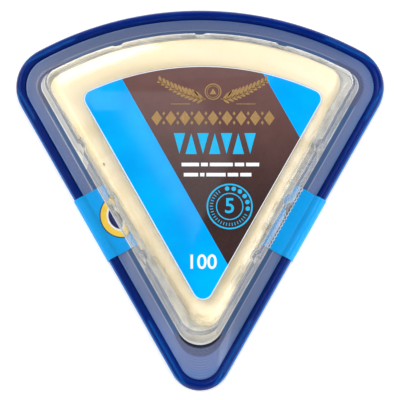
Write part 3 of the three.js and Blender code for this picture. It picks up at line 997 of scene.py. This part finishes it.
def knurl_colour(tree, zone, cloud, cells):
    """Pale peaks on darker pits, bluer next to the bead than next to the foot."""
    tooth = attribute(tree, "tooth")
    outer_pit = blend_colours(tree, cloud, srgb(112, 142, 194), srgb(130, 158, 208))
    outer_peak = blend_colours(tree, cloud, srgb(158, 182, 226), srgb(176, 200, 240))
    outer = blend_colours(tree, ramp(tree, tooth, 0.3, 0.95), outer_pit, outer_peak)
    pit = blend_colours(tree, cells, srgb(124, 142, 186), srgb(146, 162, 206))
    peak = blend_colours(tree, cells, srgb(172, 184, 214), srgb(198, 208, 234))
    inner = blend_colours(tree, ramp(tree, tooth, 0.35, 0.95), pit, peak)
    return blend_colours(tree, ramp(tree, zone, 4.0, 5.2), outer, inner)


def weld_colour(tree, place, cells):
    """The flange from its edge to the foot: the knurl, a pale line, then a clean blue band that
    turns grey at the corners. The tip's foot has painted shade, and the whole back is painted darker as
    painted shade."""
    zone = attribute(tree, "zone")
    cloud = noise_of(tree, place, 260, 4, 0.6)
    along_side = ramp(tree, attribute(tree, "corner"), 0.7, 0.2)
    worn = blend_colours(tree, cells, srgb(104, 112, 142), srgb(140, 148, 176))
    blue = blend_colours(tree, cloud, srgb(90, 122, 166), srgb(110, 142, 188))
    clean = blend_colours(tree, along_side, worn, blue)
    knurl = knurl_colour(tree, zone, cloud, cells)
    colour = blend_colours(tree, ramp(tree, zone, 6.65, 6.85), knurl, clean)
    line = math(tree, "MULTIPLY", ramp(tree, zone, 6.45, 6.6), ramp(tree, zone, 6.95, 6.8))
    colour = blend_colours(tree, math(tree, "MULTIPLY", line, along_side), colour, srgb(182, 194, 220))
    # painted shade at the foot near the tip
    at_tip = ramp(tree, attribute(tree, "tip"), 0.1, 0.8)
    painted_foot_shade = math(tree, "MULTIPLY", ramp(tree, zone, 7.75, 8.1), at_tip)
    colour = blend_colours(tree, painted_foot_shade, colour, srgb(48, 56, 78))
    # painted shade: the back of the flange is darker
    y = node(tree, "ShaderNodeSeparateXYZ", Vector=place).outputs["Y"]
    return blend_colours(tree, ramp(tree, y, 20 * MM, 60 * MM, 0, 0.5), colour, srgb(66, 82, 122))


def make_welded_film():
    """The flange. Its knurl scatters light, so it looks grey-blue over the tray."""
    material, tree, shader, place = new_material("welded_film")
    cells = noise_of(tree, place, 1700, 2)
    tree.links.new(weld_colour(tree, place, cells), shader.inputs["Base Color"])
    shader.inputs["Transmission Weight"].default_value = 0.5
    shader.inputs["IOR"].default_value = 1.46
    height, roughness = handling_marks(tree, place, 0.3, 0.5, 0.16)
    tree.links.new(roughness, shader.inputs["Roughness"])
    grit = math(tree, "ADD", height, math(tree, "MULTIPLY", cells, 0.3))
    tree.links.new(bump(tree, grit, 0.08 * MM, 0.5), shader.inputs["Normal"])
    finish_film(tree, shader)
    return material


film_finishes = {
    TOP: make_clear_film("clear_film", wave=0.6, gloss=0.02, clearness=0.98),
    WELD: make_welded_film(),
    WALL: make_clear_film("drawn_wall", wave=1.0, gloss=0.1, clearness=0.6, index=1.2, with_painted_wall_light=True),
    CREASE: make_clear_film("drawn_crease", wave=1.2, gloss=0.04, clearness=0.88, index=1.22, with_painted_wall_light=True),
    # painted light: the upper left wall is nearly opaque cream
    PAINTED_BRIGHT_WALL: make_clear_film("painted_bright_wall", wave=1.0, gloss=0.2, clearness=0.2, index=1.2, with_painted_wall_light=True),
}
place_piece(LID, "clear_film", *[film_finishes[finish] for finish in sorted(film_finishes)],
            node_name="clear_lid")

# %% [markdown]
# ## Front label
#
# A film label with round corners lies on the lid's flat top. Its ground is bright sky blue, and
# one broad dark brown band runs across it, parallel to the left side. The two fields are printed
# on one sheet, so they are one material: a turned coordinate tells which field a point is in.

# %% Front label shape
FRONT_SIDE, FRONT_BACK = 16.3 * MM, 22.8 * MM
FRONT_SHIFT = 0.9 * MM
FRONT_BOTTOM = LID_HIGH.z + 0.02 * MM
FRONT_TOP = FRONT_BOTTOM + 0.14 * MM


def make_front_label():
    bm = bmesh.new()
    levels = [
        (0.06, FRONT_BOTTOM), (0, FRONT_BOTTOM + 0.04 * MM),
        (0, FRONT_TOP - 0.04 * MM), (0.05, FRONT_TOP),
    ]
    rings = [
        outline(bm, PACK_PLAN, z, FRONT_SIDE + inset * MM, FRONT_BACK + inset * MM,
                3.2 * MM, 3.5 * MM, (90, 12, 60))
        for inset, z in levels
    ]
    loft(bm, rings)
    bmesh.ops.edgeloop_fill(bm, edges=rings[0])
    bmesh.ops.edgeloop_fill(bm, edges=rings[-1])
    bmesh.ops.translate(bm, verts=bm.verts, vec=(FRONT_SHIFT, 0, 0))
    label = to_object("front_label_sheet", bm)
    shade(label)
    return label


FRONT_LABEL = make_front_label()
print("front label", [round(v / MM, 1) for v in FRONT_LABEL.dimensions], "mm")

# %% [markdown]
# ## Front label finish
#
# The film is printed with a sky blue ground and one broad brown band, which runs parallel to the
# left side and is paler towards the back, like slate in low light. The band is the part of the
# film whose distance across the slope lies between two values, so its edges stay crisp.

# %% Front label material
BAND_LEFT_POINT = Vector((-25.4, 36.0, 0)) * MM
BAND_WIDTH = 40.4 * MM


def make_front_material():
    material, tree, shader, place = new_material("printed_film")
    shifted = node(tree, "ShaderNodeMapping", {"vector_type": "POINT"}, Vector=place,
                   Location=tuple(-BAND_LEFT_POINT)).outputs[0]
    turned = node(tree, "ShaderNodeMapping", {"vector_type": "POINT"}, Vector=shifted,
                  Rotation=(0, 0, -HALF_ANGLE)).outputs[0]
    across = node(tree, "ShaderNodeSeparateXYZ", Vector=turned).outputs["X"]
    past_left = ramp(tree, across, -0.03 * MM, 0.03 * MM)
    past_right = ramp(tree, across, BAND_WIDTH - 0.03 * MM, BAND_WIDTH + 0.03 * MM, 1, 0)
    band = math(tree, "MULTIPLY", past_left, past_right)
    y = node(tree, "ShaderNodeSeparateXYZ", Vector=place).outputs["Y"]
    slate = noise_of(tree, place, 150, 5, 0.6)
    grain = noise_of(tree, place, 1400, 3, 0.6)
    lower = blend_colours(tree, slate, srgb(38, 24, 26), srgb(60, 42, 42))
    upper = blend_colours(tree, slate, srgb(98, 68, 68), srgb(120, 88, 84))
    brown = blend_colours(tree, ramp(tree, y, -10 * MM, FRONT_HIGH.y), lower, upper)
    brown = blend_colours(tree, math(tree, "MULTIPLY", grain, 0.15), brown, srgb(128, 102, 96))
    glow = ramp(tree, noise_of(tree, place, 55, 3, 0.6), 0.25, 0.75)
    blue = blend_colours(tree, glow, srgb(0, 164, 246), srgb(0, 186, 255))
    blue = blend_colours(tree, math(tree, "MULTIPLY", grain, 0.2), blue, srgb(0, 120, 220))
    tree.links.new(blend_colours(tree, band, blue, brown), shader.inputs["Base Color"])
    height, roughness = handling_marks(tree, place, 0.3, 0.4, 0.16)
    tree.links.new(roughness, shader.inputs["Roughness"])
    shader.inputs["Specular IOR Level"].default_value = 0.1
    tree.links.new(bump(tree, height, 0.05 * MM, 0.4), shader.inputs["Normal"])
    return material


place_piece(FRONT_LABEL, "front_print", make_front_material(), node_name="front_label")

# %% [markdown]
# ## Print on the front label
#
# The inks stand a few hundredths of a millimetre on the film, so each is thin real geometry:
# white, gold or cyan. They are plain ornaments that stand where a maker would put a name, and
# they carry no words. Flat shapes are drawn in one small bmesh for each ink, and the whole set
# is thickened at once.

# %% Ink shapes
INK_BOTTOM = FRONT_TOP + 0.012 * MM
INK_THICKNESS = 0.03 * MM


def at(x, y, turn=0.0, width=1.0, height=1.0):
    """A matrix that scales a unit shape in millimetres, turns it, and puts it on the label."""
    size = Matrix.Diagonal((width * MM, height * MM, 1, 1))
    place = Vector((x * MM, y * MM, INK_BOTTOM))
    return Matrix.Translation(place) @ Matrix.Rotation(turn, 4, "Z") @ size


def disc(bm, x, y, radius, segments=40):
    return bmesh.ops.create_circle(bm, cap_ends=True, segments=segments, radius=1,
                                   matrix=at(x, y, 0, radius, radius))["verts"]


def leaf(bm, x, y, turn, length, width):
    """An oval that points along turn, with its foot at (x, y) and its end drawn out."""
    centre = at(x + cos(turn) * length / 2, y + sin(turn) * length / 2, turn, length / 2, width / 2)
    bmesh.ops.create_circle(bm, cap_ends=True, segments=14, radius=1, matrix=centre)


def polygon(bm, sides, x, y, turn, width, height):
    bmesh.ops.create_circle(bm, cap_ends=True, segments=sides, radius=1,
                            matrix=at(x, y, turn, width, height))


def bar(bm, x, y, width, height, turn=0.0):
    bmesh.ops.create_grid(bm, x_segments=1, y_segments=1, size=0.5, matrix=at(x, y, turn, width, height))


def ring(bm, x, y, radius, line):
    """A disc inset by its line width, with the inside taken out."""
    verts = disc(bm, x, y, radius, 72)
    hollow(bm, verts[0].link_faces[0], line * MM)


def hollow(bm, face, line):
    bmesh.ops.inset_region(bm, faces=[face], thickness=line, use_even_offset=True, use_boundary=True)
    bmesh.ops.delete(bm, geom=[face], context="FACES")


def number(bm, text, x, y, height):
    """A plain number in the built-in typeface, centred on (x, y)."""
    curve = bpy.data.curves.new("number", "FONT")
    curve.body = text
    curve.align_x = "CENTER"
    curve.align_y = "CENTER"
    curve.offset = 0.012
    curve.fill_mode = "FRONT"
    holder = bpy.data.objects.new("number", curve)
    bpy.context.scene.collection.objects.link(holder)
    bpy.context.view_layer.update()
    mesh = bpy.data.meshes.new_from_object(holder.evaluated_get(bpy.context.evaluated_depsgraph_get()))
    tall = max(v.co.y for v in mesh.vertices) - min(v.co.y for v in mesh.vertices)
    mesh.transform(at(x, y, 0, height / tall, height / tall))
    bm.from_mesh(mesh)
    bpy.data.objects.remove(holder)
    bpy.data.meshes.remove(mesh)


def ink_piece(name, bm, material):
    """Gives flat shapes their thickness and makes them a piece on the label."""
    bmesh.ops.recalc_face_normals(bm, faces=bm.faces)
    down = [face for face in bm.faces if face.normal.z < 0]
    bmesh.ops.reverse_faces(bm, faces=down)
    grown = bmesh.ops.extrude_face_region(bm, geom=bm.faces[:], use_keep_orig=True)["geom"]
    top = [g for g in grown if isinstance(g, bmesh.types.BMVert)]
    bmesh.ops.translate(bm, verts=top, vec=(0, 0, INK_THICKNESS))
    piece = to_object(name, bm)
    shade(piece, 30)
    place_piece(piece, "front_print", material)
    return piece


def ink_material(name, dark, light, metallic=0.0, gloss=0.25):
    """Printed ink: slightly uneven cover over the film, with the film's own waves below it."""
    material, tree, shader, place = new_material(name)
    cover = noise_of(tree, place, 1500, 3, 0.6)
    drift = noise_of(tree, place, 130, 3)
    shade_of = math(tree, "ADD", math(tree, "MULTIPLY", cover, 0.6), math(tree, "MULTIPLY", drift, 0.4))
    tree.links.new(blend_colours(tree, shade_of, dark, light), shader.inputs["Base Color"])
    shader.inputs["Metallic"].default_value = metallic
    shader.inputs["Specular IOR Level"].default_value = 0.3
    height, roughness = handling_marks(tree, place, 0.3, 0.3, gloss)
    tree.links.new(roughness, shader.inputs["Roughness"])
    tree.links.new(bump(tree, height, 0.04 * MM, 0.4), shader.inputs["Normal"])
    return material


WHITE_INK = ink_material("white_ink", srgb(226, 234, 240), srgb(255, 255, 255))
GOLD_INK = ink_material("gold_ink", srgb(150, 116, 72), srgb(196, 160, 108), 0.25)
CYAN_INK = ink_material("cyan_ink", srgb(20, 168, 222), srgb(48, 196, 246))
print("inks", [ink.name for ink in (WHITE_INK, GOLD_INK, CYAN_INK)])

# %% [markdown]
# ## White ink
#
# The keyline follows the label's own outline, a little inside it, so it is drawn by the same
# travelling vertex and hollowed. Two rows of dashes stand for a line of description, and a plain
# number for the net weight.

# %% White keyline, dashes and number
def make_white_print():
    bm = bmesh.new()
    edge = outline(bm, PACK_PLAN, INK_BOTTOM, FRONT_SIDE + 0.12 * MM, FRONT_BACK + 0.12 * MM,
                   3.1 * MM, 3.4 * MM, (70, 10, 30))
    sheet = bmesh.ops.edgeloop_fill(bm, edges=edge)["faces"][0]
    bmesh.ops.translate(bm, verts=sheet.verts, vec=(FRONT_SHIFT, 0, 0))
    hollow(bm, sheet, 0.26 * MM)
    for y, left, widths in ((7.6, -5.9, (5.6, 2.2, 7.4, 3.0, 4.2)), (4.3, -5.2, (4.6, 1.4, 6.2, 3.4, 3.6))):
        x = left
        for width in widths:
            bar(bm, x + width / 2, y, width, 1.15)
            x += width + 0.62
    number(bm, "100", 0.6, -24.1, 4.7)
    return ink_piece("print_white", bm, WHITE_INK)


make_white_print()

# %% [markdown]
# ## Gold ink
#
# Two sprigs of paired leaves rise from a ring with a triangle in it, like a small cheese wheel
# and a wedge. Below them runs a row of lozenges with small ones between. One sprig is a loop
# over steps along a rising curve, and the other is its mirror image.

# %% Gold garland and lozenges
def make_garland(bm, x, y, side):
    """One sprig, which leaves the wheel at (x, y) and rises outwards with paired leaves."""
    for step in range(11):
        t = step / 10
        stem_x = x + side * (3.2 + 13.6 * t)
        stem_y = y - 2.4 + 5.6 * t ** 1.5
        slope = atan2(5.6 * 1.5 * t ** 0.5, 13.6)
        heading = slope if side > 0 else pi - slope
        long = 3.9 * (1 - 0.5 * t)
        bar(bm, stem_x, stem_y, 1.6, 0.26, slope * side)
        leaf(bm, stem_x, stem_y, heading + side * 0.75, long, 0.95)
        leaf(bm, stem_x, stem_y, heading - side * 0.6, long * 0.62, 0.8)


def make_gold_print():
    bm = bmesh.new()
    centre_x, crest_y = 4.2, 31.3
    ring(bm, centre_x, crest_y, 2.7, 0.38)
    ring(bm, centre_x, crest_y, 2.0, 0.2)
    polygon(bm, 3, centre_x, crest_y - 0.2, 0, 1.3, 1.3)
    for side in (-1, 1):
        make_garland(bm, centre_x, crest_y, side)
        bar(bm, centre_x + side * 10.5, 27.3, 6.2, 0.26)
    for step in range(9):
        x = -13.9 + step * 4.52
        polygon(bm, 4, x, 22.7, 0, 1.75, 2.45)
        if step:
            polygon(bm, 4, x - 2.26, 24.2, 0, 0.5, 0.7)
            polygon(bm, 4, x - 2.26, 21.2, 0, 0.5, 0.7)
    return ink_piece("print_gold", bm, GOLD_INK)


make_gold_print()

# %% [markdown]
# ## Cyan ink
#
# A row of wedges points up and down in turn, as cut cheese lies in a box. The strength dial is
# two rings with a plain number, six dots for the strength reached, and tick marks for the rest.

# %% Cyan wedges and strength dial
def make_cyan_print():
    bm = bmesh.new()
    for step in range(7):
        x = -6.6 + step * 3.78
        up = 1 if step % 2 else -1
        polygon(bm, 3, x, 14.4 - up * 1.15, 0 if up > 0 else pi, 2.1, 4.5)
    dial_x, dial_y = 9.5, -6.0
    ring(bm, dial_x, dial_y, 7.4, 0.5)
    ring(bm, dial_x, dial_y, 4.4, 0.34)
    number(bm, "5", dial_x, dial_y, 4.9)
    for step in range(6):
        angle = radians(98 - step * 21)
        disc(bm, dial_x + cos(angle) * 5.85, dial_y + sin(angle) * 5.85, 0.72, 20)
    for step in range(24):
        angle = radians(125 + step * 9)
        bar(bm, dial_x + cos(angle) * 5.85, dial_y + sin(angle) * 5.85, 1.0, 0.24, angle)
    return ink_piece("print_cyan", bm, CYAN_INK)


make_cyan_print()

# %% [markdown]
# ## Back label
#
# The back label is a wedge of the same blue film under the tray. Two strips of it, one at each
# side, fold up round the lip, over the bead and down on the flange, and end at the lid's foot.
# Each ear starts as one row of edges and is extruded along the rim's section.

# %% Back label shape
BACK_SHEET = 0.2 * MM
EAR_WIDTH = 22.6 * MM
EAR_STATION = 71.8 * MM
EAR_ROWS = 34
ZIGZAG = 0.45 * MM


def make_ear(bm, mirror, zigzag):
    """One folded strip, on the right (mirror = 1) or left (-1) side."""
    out = Vector((mirror * cos(HALF_ANGLE), -sin(HALF_ANGLE), 0))
    along = Vector((mirror * sin(HALF_ANGLE), cos(HALF_ANGLE), 0))
    root = Vector((0, PACK_PLAN["meet_y"], 0)) + along * (EAR_STATION - EAR_WIDTH / 2)
    under = BACK_LOW.z + 0.1 * MM
    path = [
        (-11, under), (-7, under), (-2, under), (-0.6, under), (-0.05, under + 0.03 * MM),
        (0.18, under + 0.16 * MM), (0.25, LIP_BOTTOM + 0.1 * MM), (0.14, LIP_BOTTOM + 0.6 * MM),
        (-0.12, BEAD_TOP - 0.72 * MM), (-0.45, BEAD_TOP - 0.22 * MM), (-0.8, BEAD_TOP + 0.05 * MM),
        (-1.2, BEAD_TOP + 0.14 * MM), (-1.7, BEAD_TOP + 0.14 * MM), (-2.2, BEAD_TOP + 0.04 * MM),
        (-2.7, BEAD_TOP - 0.18 * MM), (-3.2, BEAD_TOP - 0.5 * MM), (-3.7, FLANGE + 0.28 * MM),
        (-4.3, FLANGE + 0.2 * MM), (-5.2, FLANGE + 0.2 * MM), (-6.4, FLANGE + 0.22 * MM),
        (-7.4, FLANGE + 0.3 * MM), (-8.1, FLANGE + 0.34 * MM), (-8.4, FLANGE + 0.46 * MM),
        (-8.6, FLANGE + 0.68 * MM),
    ]
    first = bm.verts.new(root + out * path[0][0] * MM + Vector((0, 0, path[0][1])))
    start_edges = len(bm.edges)
    spin_on(bm, first, (0, 0, 0), 0, EAR_ROWS, along * EAR_WIDTH / EAR_ROWS)
    bm.edges.ensure_lookup_table()
    row = bm.edges[start_edges:]
    for (from_out, from_z), (to_out, to_z) in zip(path, path[1:]):
        grown = bmesh.ops.extrude_edge_only(bm, edges=row)["geom"]
        row = [g for g in grown if isinstance(g, bmesh.types.BMEdge) and all(v in grown for v in g.verts)]
        verts = list({v for e in row for v in e.verts})
        move = out * (to_out - from_out) * MM + Vector((0, 0, to_z - from_z))
        bmesh.ops.translate(bm, verts=verts, vec=move)
    for face in {face for edge in row for face in edge.link_faces}:
        face.material_index = 1
    if zigzag:
        ordered = sorted(verts, key=lambda v: (v.co - root).dot(along))
        bmesh.ops.translate(bm, verts=ordered[1::2], vec=out * ZIGZAG)


def make_back_label():
    bm = bmesh.new()
    ring = outline(bm, PACK_PLAN, BACK_LOW.z + 0.1 * MM, 11 * MM, 11.5 * MM, 4 * MM, 5 * MM, (60, 10, 40))
    bmesh.ops.edgeloop_fill(bm, edges=ring)
    make_ear(bm, 1, zigzag=True)
    make_ear(bm, -1, zigzag=False)
    sheet = to_object("back_label_sheet", bm)
    thicken = sheet.modifiers.new("film", "SOLIDIFY")
    thicken.thickness = BACK_SHEET
    thicken.offset = 0
    thicken.material_offset_rim = 1
    apply_modifiers(sheet)
    shade(sheet)
    return sheet


BACK_LABEL = make_back_label()
print("back label", [round(v / MM, 1) for v in BACK_LABEL.dimensions], "mm")

# %% [markdown]
# ## Back label finish
#
# The film is the same sky blue. A round mark, a yellow ring with a toothed navy edge round a
# pale ring and a navy middle, is printed on the left ear, and the lid's foot cuts across it.
# Below the pack a white panel holds plain ruled lines. The cut edge shows the white core.

# %% Back label materials
ROUNDEL = Vector((-25.2, -5.4, BEAD_TOP / MM)) * MM
ROUNDEL_TEETH = 64
TOOTH_DEPTH = 0.16 * MM
PANEL_MIDDLE = 14 * MM
PANEL_HALF = Vector((19, 17)) * MM
LINE_PITCH = 3.4 * MM


def print_roundel(tree, place, x, y, ground, inks):
    """Lays the round mark over the ground colour, one disc inside the other."""
    far = vector_math(tree, "DISTANCE", place, tuple(ROUNDEL)).outputs["Value"]
    right, up = math(tree, "SUBTRACT", x, ROUNDEL.x), math(tree, "SUBTRACT", y, ROUNDEL.y)
    turn = math(tree, "MULTIPLY", math(tree, "ARCTAN2", up, right), ROUNDEL_TEETH)
    edge = math(tree, "ADD", far, math(tree, "MULTIPLY", math(tree, "SINE", turn), TOOTH_DEPTH))
    discs = ((edge, 7.5, "navy"), (far, 7.15, "yellow"), (far, 5.25, "pale"), (far, 4.65, "navy"))
    for distance, radius, ink in discs:
        inside = ramp(tree, distance, (radius + 0.1) * MM, radius * MM)
        ground = blend_colours(tree, inside, ground, inks[ink])
    return ground


def print_panel(tree, x, y, z, ground, inks):
    """Lays the ruled panel over the ground colour, on the underside only."""
    beneath = ramp(tree, z, 0.06 * MM, 0.04 * MM)
    from_middle = math(tree, "ABSOLUTE", math(tree, "SUBTRACT", y, PANEL_MIDDLE))
    in_x = math(tree, "LESS_THAN", math(tree, "ABSOLUTE", x), PANEL_HALF.x)
    in_y = math(tree, "LESS_THAN", from_middle, PANEL_HALF.y)
    panel = math(tree, "MULTIPLY", math(tree, "MULTIPLY", in_x, in_y), beneath)
    line = math(tree, "MULTIPLY", y, 1 / LINE_PITCH)
    which = node(tree, "ShaderNodeCombineXYZ", Y=math(tree, "FLOOR", line)).outputs[0]
    half_length = math(tree, "MULTIPLY", noise_of(tree, which, 0.9, 1), 26 * MM)
    in_length = math(tree, "LESS_THAN", math(tree, "ABSOLUTE", x), half_length)
    in_line = math(tree, "LESS_THAN", math(tree, "FRACT", line), 0.34)
    ruling = math(tree, "MULTIPLY", math(tree, "MULTIPLY", in_line, in_length), 0.9)
    return blend_colours(tree, panel, ground, blend_colours(tree, ruling, inks["pale"], inks["navy"]))


def make_back_material():
    material, tree, shader, place = new_material("printed_back_film")
    glow = noise_of(tree, place, 50, 3)
    speck = noise_of(tree, place, 1800, 2)
    blue = blend_colours(tree, glow, srgb(0, 158, 246), srgb(0, 176, 255))
    blue = blend_colours(tree, math(tree, "MULTIPLY", speck, 0.1), blue, srgb(120, 200, 255))
    inks = {
        "yellow": blend_colours(tree, speck, srgb(252, 206, 66), srgb(255, 222, 92)),
        "pale": blend_colours(tree, speck, srgb(238, 240, 240), srgb(255, 255, 255)),
        "navy": blend_colours(tree, speck, srgb(28, 30, 84), srgb(44, 50, 110)),
    }
    x, y, z = node(tree, "ShaderNodeSeparateXYZ", Vector=place).outputs
    on_ear = ramp(tree, z, 1.2 * MM, 1.4 * MM)
    colour = blend_colours(tree, on_ear, blue, print_roundel(tree, place, x, y, blue, inks))
    colour = print_panel(tree, x, y, z, colour, inks)
    tree.links.new(colour, shader.inputs["Base Color"])
    height, roughness = handling_marks(tree, place, 0.5, 0.4, 0.18)
    tree.links.new(roughness, shader.inputs["Roughness"])
    shader.inputs["Specular IOR Level"].default_value = 0.12
    tree.links.new(bump(tree, height, 0.05 * MM, 0.4), shader.inputs["Normal"])
    return material


def make_cut_edge():
    """The film's white core, which shows where the label was cut."""
    material, tree, shader, place = new_material("white_core")
    fibre = noise_of(tree, place, 2400, 3)
    tree.links.new(blend_colours(tree, fibre, srgb(222, 230, 236), srgb(250, 252, 255)),
                   shader.inputs["Base Color"])
    tree.links.new(ramp(tree, fibre, 0, 1, 0.5, 0.75), shader.inputs["Roughness"])
    return material


place_piece(BACK_LABEL, "back_print", make_back_material(), make_cut_edge(), node_name="back_label")
